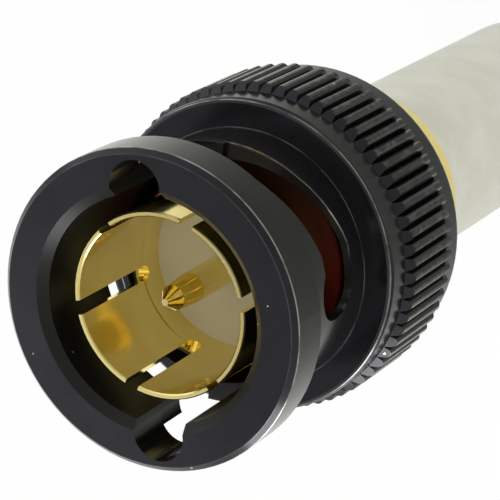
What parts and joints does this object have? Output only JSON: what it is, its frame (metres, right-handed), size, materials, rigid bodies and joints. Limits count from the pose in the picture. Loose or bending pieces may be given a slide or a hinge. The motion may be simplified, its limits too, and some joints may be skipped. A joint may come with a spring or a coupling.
{
  "type": "bnc connector",
  "caption": "Bayonet coaxial plug: black knurled coupling nut with cam slots, gold slotted contact and pin, red gasket, nickel crimp ferrule for the cable.",
  "frame": {"origin": "centre of the cable-end face of the crimp ferrule, on the plug's axis", "axes": "+Z along the plug's axis, from the cable end to the mating face; the nut's two lead-in grooves lie on +Y and -Y"},
  "size_m": [0.0148, 0.0148, 0.039],
  "materials": {
    "black_nickel": "satin black nickel plate on brass",
    "gold": "polished gold plate on brass",
    "nickel": "satin nickel plate on brass",
    "ptfe": "white fluoropolymer",
    "silicone": "brick red silicone rubber",
    "spring_steel": "bright spring steel"
  },
  "bodies": {
    "plug_body": {"shell": "gold", "outer_contact": "gold", "bearing_cap": "gold", "ferrule": "nickel", "centre_pin": "gold", "front_insulator": "ptfe", "rear_insulator": "ptfe", "gasket": "silicone", "curved_washer": "spring_steel"},
    "slip_ring": {"slip_washer": "spring_steel"},
    "nut": {"coupling_nut": "black_nickel"}
  },
  "joints": [
    {"name": "nut_travel", "type": "slide", "parent": "plug_body", "child": "slip_ring", "axis": [0, 0, 1], "range_m": [0, 0.0004], "stiffness_N_per_m": 8000, "springref_m": -0.0001, "deforming": ["curved_washer"]},
    {"name": "nut_turn", "type": "hinge", "parent": "slip_ring", "child": "nut", "pos_m": [0, 0, 0.0268], "axis": [0, 0, 1], "continuous": true}
  ]
}
